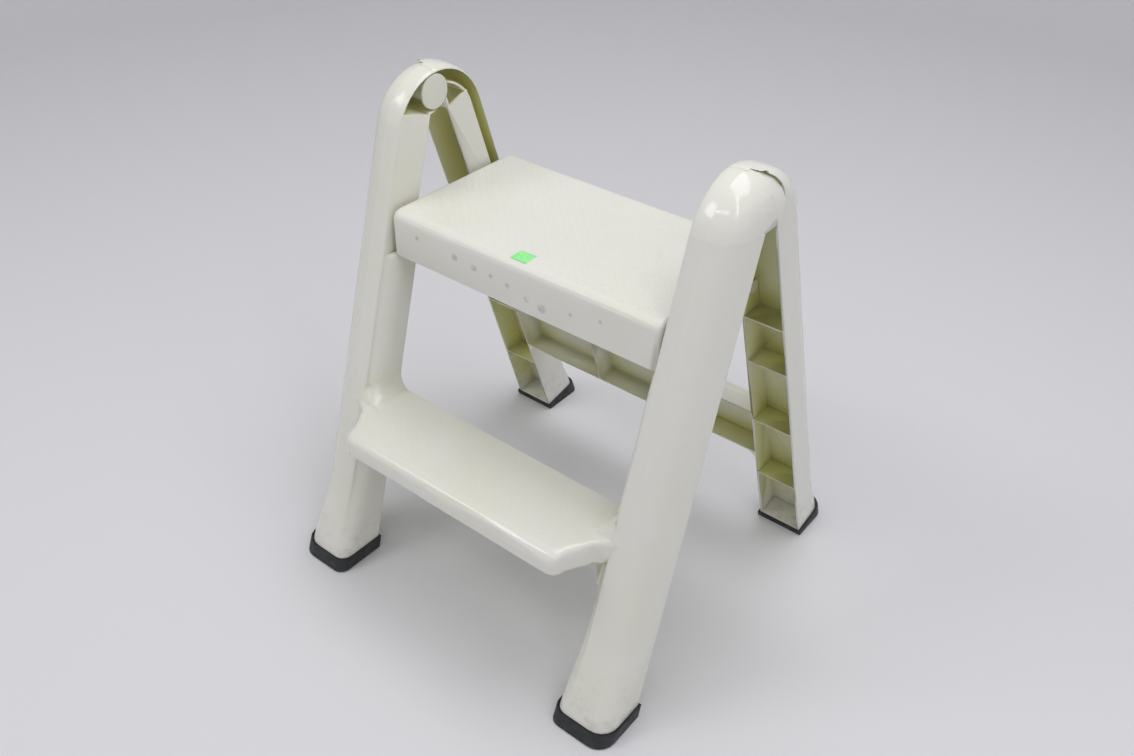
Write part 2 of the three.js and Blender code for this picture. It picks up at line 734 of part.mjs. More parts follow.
function rearLegShell() {
  const outside = rearLeg(0).add(rearTop()).subtract(capRoom(cap_start_x - clear_gap));
  const space = rearDome(wall).add(rearLeg(wall));
  const half = sideRun(polygon([
    [wall, arch_top], [wall, hinge_z], [rearLegFront(hinge_z), hinge_z], [rearLegFront(0), 0],
    [overall_height, 0], [overall_height, arch_top]]), inner_face_x, rear_foot_outer_x);
  const room = space.intersect(half).subtract(capRoom(eye_outer_x));
  const clear_dome = frontDome(wall + clear_gap)
    .add(slab(0, rear_foot_outer_x, 0, arch_axis_z));
  const floor = sideRun(innerStrip(floor_inset, wall), inner_face_x, rear_foot_outer_x,
    arch_steps / 2).intersect(room.add(outside));
  const ribs = rear_rib_heights.map((z) => block(
    inner_face_x, rear_foot_outer_x, 0, rearLine(z, floor_inset + wall / 2), z, z + rib_wall));
  const web = sideRun(polygon([
    [rearLegFront(hinge_z), hinge_z], [rearLegFront(hinge_z) + rear_web_thickness, hinge_z],
    [rearLegFront(panel_top_front_z - wall) + rear_web_thickness, panel_top_front_z - wall],
    [rearLegFront(panel_top_front_z - wall), panel_top_front_z - wall]]),
  inner_face_x, cap_start_x - clear_gap);
  const eye = rod(eye_radius, inner_face_x + plug_thickness + clear_gap, eye_outer_x, 0, hinge_z);
  const inner = joined([floor, joined(ribs).intersect(rearLeg(0)).intersect(room.add(outside)),
    innerWall(), web, eye]).intersect(clear_dome);
  const bore = rod(hub_radius + clear_gap, 0, front_foot_outer_x, 0, hinge_z);
  const pin_bore = rod(pin_radius + clear_gap, 0, inner_face_x + wall + clear_gap,
    seat_pin_y, seat_pin_z);
  const plug_room = rod(plug_radius + clear_gap, 0, inner_face_x + plug_thickness + clear_gap,
    0, hinge_z);
  const head_room = rod(pin_head_radius + clear_gap, inner_face_x + wall,
    inner_face_x + wall + pin_head_thickness + 2 * clear_gap, seat_pin_y, seat_pin_z);
  return outside.subtract(space).add(inner)
    .subtract(joined([bore, pin_bore, plug_room, head_room]));
}

/** The flat inner wall: up to the floor above, and to the rear rim lower down. */
function innerWall() {
  const depth = floor_inset + wall / 2;
  const top_z = panel_top_front_z;
  const rise = (rearLine(top_z, depth) - rearLegFront(top_z)) * Math.tan(rear_tilt);
  const panel = sideRun(polygon([
    [rearLegFront(0), 0], [rearLine(0, depth), 0],
    [rearLine(top_z + rise, depth), top_z + rise], [rearLegFront(top_z), top_z]]),
  inner_face_x, inner_face_x + wall);
  const low = sideRun(polygon([
    [rearLegFront(0), 0], [rearLegBack(0), 0], [rearLegBack(0), rear_flare_height],
    [rearLegBack(groove_end_z), groove_end_z],
    [rearLine(groove_end_z + floor_inset, depth), groove_end_z + floor_inset]]),
  inner_face_x, inner_face_x + wall).intersect(rearLeg(0));
  return panel.add(low);
}

/** Crossbar between the rear legs: a channel open to the front. */
function crossbar() {
  const at = (z, d) => [rearLegFront(z) + d, z];
  const outside = polygon([
    at(bar_bottom_z, 0), at(bar_bottom_z, bar_depth), at(bar_top_z, bar_depth), at(bar_top_z, 0)]);
  const inside = polygon([
    at(bar_bottom_z + wall, -overrun), at(bar_bottom_z + wall, bar_depth - wall),
    at(bar_top_z - wall, bar_depth - wall), at(bar_top_z - wall, -overrun)]);
  const reach = inner_face_x + wall / 2;
  const ribs = [-bar_rib_x, bar_rib_x].map((x) => sideRun(
    outside, x - rib_wall / 2, x + rib_wall / 2));
  const fillet = new THREE.Shape();
  fillet.moveTo(reach, bar_bottom_z + wall / 2);
  fillet.lineTo(inner_face_x - bar_fillet, bar_bottom_z + wall / 2);
  fillet.lineTo(inner_face_x - bar_fillet, bar_bottom_z);
  fillet.absarc(inner_face_x - bar_fillet, bar_bottom_z - bar_fillet, bar_fillet,
    Math.PI / 2, 0, true);
  fillet.lineTo(reach, bar_bottom_z - bar_fillet);
  fillet.closePath();
  const fillet_area = sideRun(polygon([
    at(bar_bottom_z - bar_fillet, 0), at(bar_bottom_z - bar_fillet, bar_depth),
    at(bar_top_z, bar_depth), at(bar_top_z, 0)]), 0, reach);
  const web = frontRun(fillet, rearLegFront(bar_top_z), rearLegFront(0) + bar_depth)
    .intersect(fillet_area);
  return sideRun(outside, -reach, reach).subtract(sideRun(inside, -reach, reach))
    .add(joined(ribs)).add(both(web));
}

/** Area under the shoe, from the slanted bottom of the foot down. */
function shoeCut(gap) {
  const front = rearLegFront(0) - overrun;
  const rear = rearLegBack(0) + overrun;
  const slope = (rear_pad_rear_height - rear_pad_front_height)
    / (rearLegBack(0) - rearLegFront(0));
  const at = (y) => rear_pad_front_height + gap + (y - rearLegFront(0)) * slope;
  return polygon([
    [front, -overrun], [rear, -overrun], [rear, at(rear)], [front, at(front)]]);
}

function rearFrame() {
  const under = sideRun(shoeCut(0), -overall_height, overall_height);
  return both(rearLegShell()).add(crossbar()).subtract(under);
}

const seat_pin_y = rearLegFront(seat_pin_z) + seat_pin_setback / Math.cos(rear_tilt);

function roundedPlan(half, front, rear, corner) {
  const shape = new THREE.Shape();
  shape.moveTo(-half + corner, front);
  shape.lineTo(half - corner, front);
  shape.quadraticCurveTo(half, front, half, front + corner);
  shape.lineTo(half, rear - corner);
  shape.quadraticCurveTo(half, rear, half - corner, rear);
  shape.lineTo(-half + corner, rear);
  shape.quadraticCurveTo(-half, rear, -half, rear - corner);
  shape.lineTo(-half, front + corner);
  shape.quadraticCurveTo(-half, front, -half + corner, front);
  return shape;
}

/** The seat's whole form with its rounded edges, or with an inset the space under its top. */
function seatForm(inset) {
  const top = seat_top_z - inset;
  const low = seat_top_z - seat_thickness - (inset > 0 ? overrun : 0);
  const front_corner = seat_front_corner - inset;
  const edge_corner = seat_edge_corner - inset;
  return loft([low, ...edgeHeights(top, front_corner)], (z) => {
    const front = inset + edgeInset(z - (top - front_corner), front_corner);
    const side = inset + edgeInset(z - (top - edge_corner), edge_corner);
    const plan = roundedPlan(seat_half_width - side, seat_front_y + front, seat_rear_y - side,
      seat_plan_corner - inset);
    return plan.getPoints(plan_steps).slice(0, -1);
  });
}

function seatPanel() {
  const low = seat_top_z - seat_thickness;
  const outside = seatForm(0);
  const rib_top = seat_top_z - wall / 2;
  const ribs = seat_rib_x.map((x) => block(
    x - rib_wall / 2, x + rib_wall / 2, seat_front_y, seat_rear_y, low + seat_rib_rise, rib_top));
  for (const y of seat_rib_y) {
    ribs.push(block(-seat_half_width, seat_half_width, y - rib_wall / 2, y + rib_wall / 2,
      low + seat_rib_rise, rib_top));
  }
  const boss = rod(seat_boss_radius, seat_half_width - seat_boss_length,
    seat_half_width - wall / 2, seat_pin_y, seat_pin_z);
  const bore = rod(pin_radius + clear_gap, seat_half_width - seat_boss_length - wall,
    seat_half_width + overrun, seat_pin_y, seat_pin_z);
  const panel = outside.subtract(seatForm(wall)).add(joined(ribs).intersect(outside))
    .add(both(boss));
  return panel.subtract(both(bore));
}

/** A turned piece whose axis runs along X. */
function turned(profile, y, z) {
  const geometry = new THREE.LatheGeometry(
    profile.map(([radius, x]) => new THREE.Vector2(radius, x)), round_steps);
  geometry.rotateZ(-Math.PI / 2);
  geometry.translate(0, y, z);
  return toSolid(geometry);
}

function hingePlug() {
  const stem_start = inner_face_x + plug_thickness;
  const stem_end = stem_start + plug_stem_length;
  return turned([
    [0, inner_face_x], [plug_radius - plug_chamfer, inner_face_x],
    [plug_radius, inner_face_x + plug_chamfer], [plug_radius, stem_start],
    [plug_stem_radius, stem_start], [plug_stem_radius, stem_end - plug_chamfer],
    [plug_stem_radius - plug_chamfer, stem_end], [0, stem_end]], 0, hinge_z);
}

function seatPin() {
  const tip = seat_half_width - pin_reach;
  const head = inner_face_x + wall + clear_gap;
  const head_end = head + pin_head_thickness;
  return turned([
    [0, tip], [pin_radius - plug_chamfer, tip], [pin_radius, tip + plug_chamfer],
    [pin_radius, head], [pin_head_radius, head], [pin_head_radius, head_end], [0, head_end]],
  seat_pin_y, seat_pin_z);
}

/** Rubber cup under a front leg. */
function frontPad() {
  const whole = loft([0, pad_bottom_corner, front_pad_height],
    (z) => frontRing(z, 0, z > 0 ? pad_wall : pad_wall - pad_bottom_corner));
  const room = loft([foot_bottom_z - clear_gap, front_pad_height, front_pad_height + wall],
    (z) => frontRing(z, 0, clear_gap));
  return whole.subtract(room);
}

/** Rubber sole under a rear shoe, thicker towards the back. */
function rearPad() {
  const stations = rear_stations.filter((z) => z < rear_flare_height);
  const whole = rearLeg(0, pad_wall, stations);
  const keep = sideRun(shoeCut(pad_wall), 0, overall_height);
  const room = rearLeg(0, clear_gap, stations)
    .subtract(sideRun(shoeCut(-clear_gap), 0, overall_height));
  return whole.intersect(keep).subtract(room);
}

const front_most = frontLegFront(0) - pad_wall;
const rear_most = rearLegBack(0) + pad_wall;
const middle_y = (front_most + rear_most) / 2;

function material(color, roughness) {
  return new THREE.MeshStandardMaterial({ color, roughness, metalness: 0 });
}
const cream = material(0xe2e2d6, 0.42);
const plug_plastic = material(0xd9d8cf, 0.5);
const rubber = material(0x2b2d2e, 0.85);

const stool = new THREE.Group();
stool.name = 'folding_step_stool';
stool.position.set(0, -middle_y, 0);

function put(name, solid, surface) {
  const mesh = new THREE.Mesh(toGeometry(cleaned(solid)), surface);
  mesh.name = name;
  stool.add(mesh);
}

put('front_frame', frontFrame(), cream);
put('rear_frame', rearFrame(), cream);
put('seat_panel', seatPanel(), cream);
put('hinge_plug_right', hingePlug(), plug_plastic);
put('hinge_plug_left', mirrored(hingePlug()), plug_plastic);
put('seat_pin_right', seatPin(), plug_plastic);
put('seat_pin_left', mirrored(seatPin()), plug_plastic);
put('front_pad_right', frontPad(), rubber);
put('front_pad_left', mirrored(frontPad()), rubber);
put('rear_pad_right', rearPad(), rubber);
put('rear_pad_left', mirrored(rearPad()), rubber);

export default stool;
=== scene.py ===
"""Looks for a folding two-step stool in cream moulded plastic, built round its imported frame."""

import logging
import math
from dataclasses import dataclass, field
from enum import Enum

import bmesh
import bpy
from mathutils import Matrix, Vector
from mathutils.bvhtree import BVHTree


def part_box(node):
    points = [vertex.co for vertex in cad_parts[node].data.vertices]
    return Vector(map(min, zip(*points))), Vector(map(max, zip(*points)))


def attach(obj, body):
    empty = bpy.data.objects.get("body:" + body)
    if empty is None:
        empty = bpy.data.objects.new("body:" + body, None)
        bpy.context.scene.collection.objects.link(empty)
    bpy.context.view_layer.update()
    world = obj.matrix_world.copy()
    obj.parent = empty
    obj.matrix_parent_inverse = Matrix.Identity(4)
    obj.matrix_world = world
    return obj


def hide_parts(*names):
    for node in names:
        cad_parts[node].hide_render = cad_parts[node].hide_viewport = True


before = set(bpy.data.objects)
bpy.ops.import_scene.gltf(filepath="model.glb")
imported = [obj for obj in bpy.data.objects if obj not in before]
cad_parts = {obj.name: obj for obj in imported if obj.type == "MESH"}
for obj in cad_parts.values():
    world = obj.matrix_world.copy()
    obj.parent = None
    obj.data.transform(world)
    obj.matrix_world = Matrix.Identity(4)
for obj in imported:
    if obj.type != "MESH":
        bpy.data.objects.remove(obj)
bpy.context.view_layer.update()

LOG = logging.getLogger("stool")
MM = 0.001
HINGE_Y = -20.616 * MM
HINGE_Z = 613.5 * MM
SEAT_TOP_Z = 493.2 * MM
STEP_TOP_Z = 245.3 * MM
CRISP_ANGLE = math.radians(38)
EVEN_SPAN = (0.3, 0.7)

Colour = tuple[int, int, int]
Point = tuple[float, float, float]
PlanPoint = tuple[float, float]
Span = tuple[float, float]
Socket = bpy.types.NodeSocket
Row = list[bmesh.types.BMVert]


def linear(colour: Colour) -> tuple[float, float, float, float]:
    """Turns a screen colour into the linear one that a shader takes.

    Args:
        colour: Red, green and blue from 0 to 255.

    Returns:
        The linear colour with an alpha of 1.
    """

    def channel(value: int) -> float:
        """Returns one channel as linear light."""
        share = value / 255
        return share / 12.92 if share <= 0.04045 else ((share + 0.055) / 1.055) ** 2.4

    red, green, blue = (channel(value) for value in colour)
    return red, green, blue, 1.0


class Way(Enum):
    """Ways in which two values are combined."""

    PRODUCT = "MULTIPLY"
    LARGER = "MAXIMUM"
    DIFFERENCE = "SUBTRACT"


class Reach(Enum):
    """Which surfaces count when a point's openness is felt out."""

    OWN_PIECE = True
    ALL_PIECES = False


class Side(Enum):
    """The stool's two sides, by the sign of their X."""

    RIGHT = 1
    LEFT = -1

    def named(self, part: str) -> str:
        """Returns a part's name with the side behind it."""
        return f"{part}_{self.name.lower()}"


class ShaderSheet:
    """A material's node tree with short calls for the nodes that the finishes use."""

    OPENNESS_SAMPLES = 6
    ROUNDING_SAMPLES = 4
    EDGE_RANGE = (0.82, 0.995)

    def __init__(self, name: str) -> None:
        """Makes an empty material with a principled shader.

        Args:
            name: The material's name.
        """
        self.material = bpy.data.materials.new(name)
        self.material.use_nodes = True
        self.tree = self.material.node_tree
        self.tree.nodes.clear()
        output = self.add("ShaderNodeOutputMaterial")
        self.surface = self.add("ShaderNodeBsdfPrincipled")
        self.tree.links.new(self.surface.outputs["BSDF"], output.inputs["Surface"])
        self.place = self.add("ShaderNodeTexCoord").outputs["Object"]

    def add(self, kind: str) -> bpy.types.Node:
        """Returns a new node of a kind."""
        return self.tree.nodes.new(kind)

    def put(self, socket: Socket, value: object) -> None:
        """Links or sets a socket.

        Args:
            socket: The input to fill.
            value: Another node's output, a number or a colour.
        """
        if isinstance(value, bpy.types.NodeSocket):
            self.tree.links.new(value, socket)
        else:
            socket.default_value = value

    def noise(self, size: float, detail: float = 3.0, rough: float = 0.55,
              stretch: Point = (1, 1, 1)) -> Socket:
        """Soft random pattern.

        Args:
            size: Width of one blotch in metres.
            detail: Octaves of finer pattern.
            rough: Strength of the finer octaves.
            stretch: How much closer the pattern runs along each axis.

        Returns:
            The pattern's value, about 0.5 on average.
        """
        place = self.add("ShaderNodeMapping")
        place.inputs["Scale"].default_value = stretch
        self.put(place.inputs["Vector"], self.place)
        node = self.add("ShaderNodeTexNoise")
        node.inputs["Scale"].default_value = 1 / size
        node.inputs["Detail"].default_value = detail
        node.inputs["Roughness"].default_value = rough
        self.put(node.inputs["Vector"], place.outputs["Vector"])
        return node.outputs["Fac"]

    def spread(self, value: object, span: Span, result: Span = (0.0, 1.0)) -> Socket:
        """Maps a range smoothly to another one and holds it at the ends.

        Args:
            value: What is mapped.
            span: The low and the high value that are told apart.
            result: What these two become.

        Returns:
            The mapped value.
        """
        node = self.add("ShaderNodeMapRange")
        node.interpolation_type = "SMOOTHSTEP"
        for name, amount in zip(("From Min", "From Max", "To Min", "To Max"), span + result):
            node.inputs[name].default_value = amount
        self.put(node.inputs["Value"], value)
        return node.outputs["Result"]

    def combine(self, first: object, second: object, way: Way = Way.PRODUCT) -> Socket:
        """Combines two values.

        Args:
            first: One value.
            second: The other value.
            way: How they are combined.

        Returns:
            The combined value.
        """
        node = self.add("ShaderNodeMath")
        node.operation = way.value
        self.put(node.inputs[0], first)
        self.put(node.inputs[1], second)
        return node.outputs["Value"]

    def layer(self, share: object, under: object, over: object) -> Socket:
        """Lays one colour over another.

        Args:
            share: How much of the upper colour shows.
            under: The lower colour.
            over: The upper colour.

        Returns:
            The combined colour.
        """
        node = self.add("ShaderNodeMix")
        node.data_type = "RGBA"
        colours = [socket for socket in node.inputs if socket.type == "RGBA"]
        self.put(node.inputs["Factor"], share)
        self.put(colours[0], under)
        self.put(colours[1], over)
        return next(socket for socket in node.outputs if socket.type == "RGBA")

    def height(self) -> Socket:
        """Feels out how high a point lies when the stool stands open.

        Returns:
            The height above the floor.
        """
        node = self.add("ShaderNodeSeparateXYZ")
        self.put(node.inputs["Vector"], self.place)
        return node.outputs["Z"]

    def distance(self, centre: Point) -> Socket:
        """Feels out how far a point lies from another one.

        Args:
            centre: The other point, on the open stool.

        Returns:
            The distance in metres.
        """
        node = self.add("ShaderNodeVectorMath")
        node.operation = "DISTANCE"
        self.put(node.inputs[0], self.place)
        node.inputs[1].default_value = centre
        return node.outputs["Value"]

    def openness(self, reach: float, of: Reach) -> Socket:
        """How open the surface lies.

        Args:
            reach: How far other surfaces are felt, in metres.
            of: Which surfaces count.

        Returns:
            From 0 deep in a corner to 1 in the open.
        """
        node = self.add("ShaderNodeAmbientOcclusion")
        node.samples = self.OPENNESS_SAMPLES
        node.only_local = of.value
        node.inputs["Distance"].default_value = reach
        return node.outputs["AO"]

    def rounded(self, radius: float) -> Socket:
        """Rounds the surface's edges in the shading.

        Args:
            radius: The edges' radius in metres.

        Returns:
            The rounded surface's direction.
        """
        node = self.add("ShaderNodeBevel")
        node.samples = self.ROUNDING_SAMPLES
        node.inputs["Radius"].default_value = radius
        return node.outputs["Normal"]

    def edges(self, direction: Socket) -> Socket:
        """How near an edge a point lies.

        Args:
            direction: The rounded direction of the surface.

        Returns:
            From 0 on a face to 1 on an edge.
        """
        node = self.add("ShaderNodeVectorMath")
        node.operation = "DOT_PRODUCT"
        self.put(node.inputs[0], direction)
        self.put(node.inputs[1], self.add("ShaderNodeNewGeometry").outputs["Normal"])
        return self.spread(node.outputs["Value"], self.EDGE_RANGE, (1.0, 0.0))

    def relief(self, height: object, depth: float, under: Socket | None = None) -> Socket:
        """Raises the surface by a pattern.

        Args:
            height: The pattern, from 0 to 1.
            depth: Its real depth in metres.
            under: A relief that this one is laid on.

        Returns:
            The raised surface's direction.
        """
        node = self.add("ShaderNodeBump")
        node.inputs["Strength"].default_value = 1.0
        node.inputs["Distance"].default_value = depth
        self.put(node.inputs["Height"], height)
        if under is not None:
            self.put(node.inputs["Normal"], under)
        return node.outputs["Normal"]


@dataclass(frozen=True)
class Blotches:
    """A random pattern that is cut to patches by two thresholds.

    Attributes:
        size: Width of one blotch in metres.
        span: Values of the pattern between which a patch begins and is full.
        result: What a bare and a full place become.
        detail: Octaves of finer pattern.
        rough: Strength of the finer octaves.
        stretch: How much closer the pattern runs along each axis.
    """

    size: float
    span: Span
    result: Span = (0.0, 1.0)
    detail: float = 3.0
    rough: float = 0.55
    stretch: Point = (1, 1, 1)

    def on(self, sheet: ShaderSheet) -> Socket:
        """Returns the patches as a value on a material's sheet."""
        pattern = sheet.noise(self.size, self.detail, self.rough, self.stretch)
        return sheet.spread(pattern, self.span, self.result)


@dataclass(frozen=True)
class MouldedPlastic:
    """Cream plastic with fine grain, yellowed hollows with painted shade and bounced light,
    painted highlights on its rims, scuffs, old dust, and grime with painted shade in its nooks.
    """

    name: str
    colour: Colour = (234, 233, 226)
    aged: Colour = (232, 231, 220)
    aged_patches: Blotches = Blotches(0.16, (0.38, 0.7), detail=2)

    # Painted highlight: the rounded edges are lightened towards this colour.
    rim: Colour = (240, 240, 229)
    rim_highlight_share: float = 0.6
    edge: float = 1.1 * MM

    # Yellowed plastic with painted shade and painted bounced light, laid in the hollows.
    hollow: Colour = (225, 224, 160)
    hollow_reach: float = 75 * MM
    hollow_span: Span = (0.36, 0.84)

    scuff: Colour = (196, 192, 178)
    scuff_share: float = 0.22
    streaks: Blotches = Blotches(0.007, (0.68, 0.84), detail=5, rough=0.7, stretch=(1, 7, 3))
    rubbed_patches: Blotches = Blotches(0.06, (0.54, 0.72))

    # Brown colour used as real dirt splashed near the floor, and as grime with painted shade in
    # tight nooks.
    grime_and_shade: Colour = (150, 138, 110)
    nook_reach: float = 2.2 * MM
    nook_span: Span = (0.3, 0.75)
    nook_share: float = 0.55
    nook_patches: Blotches = Blotches(0.03, (0.35, 0.65), (0.35, 1.0), detail=4, rough=0.65)
    splash_heights: Span = (0.015, 0.11)
    splash_share: float = 0.3
    splash_patches: Blotches = Blotches(0.02, (0.45, 0.75), detail=5, rough=0.7)

    smudge: Colour = (150, 149, 140)
    smudges: tuple[tuple[Point, float], ...] = ()
    smudge_core: float = 0.35
    smudge_share: float = 0.5
    smudge_patches: Blotches = Blotches(0.0045, (0.3, 0.58), detail=4, rough=0.7)

    roughness: float = 0.13
    dulling: Span = (-0.015, 0.03)
    dull_patch: float = 0.05
    worn_roughness: float = 0.3
    refraction: float = 1.5
    glow_share: float = 0.15
    glow_depth: float = 3 * MM
    glow_colours: Point = (1.0, 0.9, 0.45)

    grain: float = 0.9 * MM
    grain_depth: float = 0.012 * MM
    wave: float = 0.09
    wave_depth: float = 0.05 * MM
    sink_heights: tuple[float, ...] = ()
    sink_width: float = 7 * MM
    sink_depth: float = 0.12 * MM

    def material(self) -> bpy.types.Material:
        """Dresses a new material in the finish.

        Returns:
            The material.
        """
        sheet = ShaderSheet(self.name)
        inputs = sheet.surface.inputs
        rounded = sheet.rounded(self.edge)
        sheet.put(inputs["Base Color"], self.stain_and_painted_light(sheet, rounded))
        scratches = self.scuffs(sheet)
        dull, duller = self.dulling
        rough = Blotches(self.dull_patch, EVEN_SPAN,
                         (self.roughness + dull, self.roughness + duller), 1).on(sheet)
        worn = sheet.spread(scratches, (0.0, 1.0), (0.0, self.roughness + self.worn_roughness))
        sheet.put(inputs["Roughness"], sheet.combine(rough, worn, Way.LARGER))
        sheet.put(inputs["Normal"], self.surface_relief(sheet, rounded))
        sheet.put(inputs["IOR"], self.refraction)
        sheet.put(inputs["Subsurface Weight"], self.glow_share)
        sheet.put(inputs["Subsurface Radius"], self.glow_colours)
        sheet.put(inputs["Subsurface Scale"], self.glow_depth)
        return sheet.material

    def scuffs(self, sheet: ShaderSheet) -> Socket:
        """Returns short rubbed streaks in a few patches, from 0 to 1."""
        return sheet.combine(self.streaks.on(sheet), self.rubbed_patches.on(sheet))

    def stain_and_painted_light(self, sheet: ShaderSheet, rounded: Socket) -> Socket:
        """Colour of the plastic with what years of use left on it, with painted highlights on its
        rims and painted shade in its hollows and nooks.

        Args:
            sheet: The material that is being made.
            rounded: The surface's direction with rounded edges.

        Returns:
            The colour.
        """
        colour = sheet.layer(self.aged_patches.on(sheet), linear(self.colour),
                             linear(self.aged))
        # Painted highlight laid along the rounded edges.
        rim = sheet.combine(sheet.edges(rounded), self.rim_highlight_share)
        colour = sheet.layer(rim, colour, linear(self.rim))
        # Painted shade and bounced yellow light, deeper where the hollow is less open.
        deep = sheet.spread(sheet.openness(self.hollow_reach, Reach.OWN_PIECE),
                            self.hollow_span, (1.0, 0.0))
        colour = sheet.layer(deep, colour, linear(self.hollow))
        rubbed = sheet.combine(self.scuffs(sheet), self.scuff_share)
        colour = sheet.layer(rubbed, colour, linear(self.scuff))
        # Grime with painted shade: darker in tight nooks and where pieces meet, by ambient
        # occlusion.
        nook = sheet.spread(sheet.openness(self.nook_reach, Reach.ALL_PIECES),
                            self.nook_span, (self.nook_share, 0.0))
        grime_and_shade_share = sheet.combine(nook, self.nook_patches.on(sheet))
        colour = sheet.layer(grime_and_shade_share, colour, linear(self.grime_and_shade))
        low = sheet.spread(sheet.height(), self.splash_heights, (self.splash_share, 0.0))
        splashed = sheet.combine(low, self.splash_patches.on(sheet))
        colour = sheet.layer(splashed, colour, linear(self.grime_and_shade))
        for centre, radius in self.smudges:
            spot = sheet.spread(sheet.distance(centre), (radius * self.smudge_core, radius),
                                (1.0, 0.0))
            broken = sheet.combine(spot, self.smudge_patches.on(sheet))
            marked = sheet.combine(broken, self.smudge_share)
            colour = sheet.layer(marked, colour, linear(self.smudge))
        return colour

    def surface_relief(self, sheet: ShaderSheet, rounded: Socket) -> Socket:
        """Sink marks over the ribs, slow waviness and the mould's fine grain.

        Args:
            sheet: The material that is being made.
            rounded: The surface's direction with rounded edges.

        Returns:
            The surface's direction.
        """
        wavy = sheet.relief(sheet.noise(self.wave, 0), self.wave_depth, rounded)
        for level in self.sink_heights:
            above = sheet.combine(sheet.height(), level, Way.DIFFERENCE)
            gap = sheet.add("ShaderNodeMath")
            gap.operation = "ABSOLUTE"
            sheet.put(gap.inputs[0], above)
            dip = sheet.spread(gap.outputs["Value"], (0.0, self.sink_width))
            wavy = sheet.relief(dip, self.sink_depth, wavy)
        return sheet.relief(sheet.noise(self.grain, 2), self.grain_depth, wavy)


@dataclass(frozen=True)
class FootRubber:
    """Dull dark rubber with floor dust in its pores."""

    name: str
    colour: Colour = (42, 45, 47)
    dust: Colour = (92, 90, 84)
    edge: float = 0.9 * MM
    dust_patches: Blotches = Blotches(0.011, (0.48, 0.78), (0.0, 0.55), detail=5, rough=0.7)
    dust_height: float = 16 * MM
    dust_above: float = 0.45
    dulling: Blotches = Blotches(0.01, EVEN_SPAN, (0.47, 0.75))
    pore: float = 1.2 * MM
    pore_depth: float = 0.05 * MM

    def material(self) -> bpy.types.Material:
        """Dresses a new material in the finish.

        Returns:
            The material.
        """
        sheet = ShaderSheet(self.name)
        inputs = sheet.surface.inputs
        rounded = sheet.rounded(self.edge)
        low = sheet.spread(sheet.height(), (0.0, self.dust_height), (1.0, self.dust_above))
        dusty = sheet.combine(self.dust_patches.on(sheet), low)
        sheet.put(inputs["Base Color"],
                  sheet.layer(dusty, linear(self.colour), linear(self.dust)))
        sheet.put(inputs["Roughness"], self.dulling.on(sheet))
        sheet.put(inputs["Normal"],
                  sheet.relief(sheet.noise(self.pore), self.pore_depth, rounded))
        return sheet.material


@dataclass(frozen=True)
class StickerPaper:
    """Bright green coated paper with a faint fibre."""

    name: str
    colour: Colour = (146, 246, 148)
    faded: Colour = (168, 250, 170)
    faded_patches: Blotches = Blotches(0.006, (0.4, 0.7))
    dulling: Blotches = Blotches(0.004, EVEN_SPAN, (0.42, 0.58))
    fibre: float = 0.8 * MM
    fibre_rough: float = 0.6
    fibre_stretch: Point = (1, 3, 1)
    fibre_depth: float = 0.02 * MM

    def material(self) -> bpy.types.Material:
        """Dresses a new material in the finish.

        Returns:
            The material.
        """
        sheet = ShaderSheet(self.name)
        inputs = sheet.surface.inputs
        sheet.put(inputs["Base Color"],
                  sheet.layer(self.faded_patches.on(sheet), linear(self.colour),
                              linear(self.faded)))
        sheet.put(inputs["Roughness"], self.dulling.on(sheet))
        fibres = sheet.noise(self.fibre, rough=self.fibre_rough, stretch=self.fibre_stretch)
        sheet.put(inputs["Normal"], sheet.relief(fibres, self.fibre_depth))
        return sheet.material


@dataclass(frozen=True)
class StudioPaper:
    """Plain matt paper for the floor and the backdrop."""

    name: str
    colour: Colour = (228, 228, 232)
    roughness: float = 0.9
    sheen: float = 0.1

    def material(self) -> bpy.types.Material:
        """Dresses a new material in the finish.

        Returns:
            The material.
        """
        sheet = ShaderSheet(self.name)
        sheet.put(sheet.surface.inputs["Base Color"], linear(self.colour))
        sheet.put(sheet.surface.inputs["Roughness"], self.roughness)
        sheet.put(sheet.surface.inputs["Specular IOR Level"], self.sheen)
        return sheet.material


@dataclass(frozen=True)
class PhotoCamera:
    """The camera, at the place and angles from which the stool was photographed."""

    place: Point = (677.493 * MM, -882.590 * MM, 1089.461 * MM)
    azimuth: float = 37.9202
    elevation: float = 36.3481
    roll: float = -1.0443
    focal_pixels: float = 1055.85
    image_width: float = 1134.0
    sensor_width: float = 36.0
    clip: Span = (0.05, 50.0)

    def build(self) -> None:
        """Makes the camera and makes it the scene's own."""
        azimuth, elevation = math.radians(self.azimuth), math.radians(self.elevation)
        back = Vector((math.sin(azimuth) * math.cos(elevation),
                       -math.cos(azimuth) * math.cos(elevation), math.sin(elevation)))
        right = Vector((math.cos(azimuth), math.sin(azimuth), 0))
        turn = Matrix((right, back.cross(right), back)).transposed().to_4x4()
        data = bpy.data.cameras.new("photo_camera")
        data.sensor_width = self.sensor_width
        data.lens = self.focal_pixels / self.image_width * self.sensor_width
        data.clip_start, data.clip_end = self.clip
        camera = bpy.data.objects.new("photo_camera", data)
        camera.matrix_world = (Matrix.Translation(self.place) @ turn
                               @ Matrix.Rotation(-math.radians(self.roll), 4, "Z"))
        bpy.context.scene.collection.objects.link(camera)
        bpy.context.scene.camera = camera


@dataclass(frozen=True)
class SoftBox:
    """One soft lamp that points at the middle of the stool."""

    name: str
    place: Point
    width: float
    depth: float
    power: float
    aim: Point = (0, 0, 0.35)

    def build(self) -> None:
        """Hangs the lamp in the scene."""
        data = bpy.data.lights.new(self.name, "AREA")
        data.shape = "RECTANGLE"
        data.size, data.size_y = self.width, self.depth
        data.energy = self.power
        lamp = bpy.data.objects.new(self.name, data)
        lamp.location = self.place
        beam = Vector(self.aim) - Vector(self.place)
        lamp.rotation_euler = beam.to_track_quat("-Z", "Y").to_euler()
        bpy.context.scene.collection.objects.link(lamp)


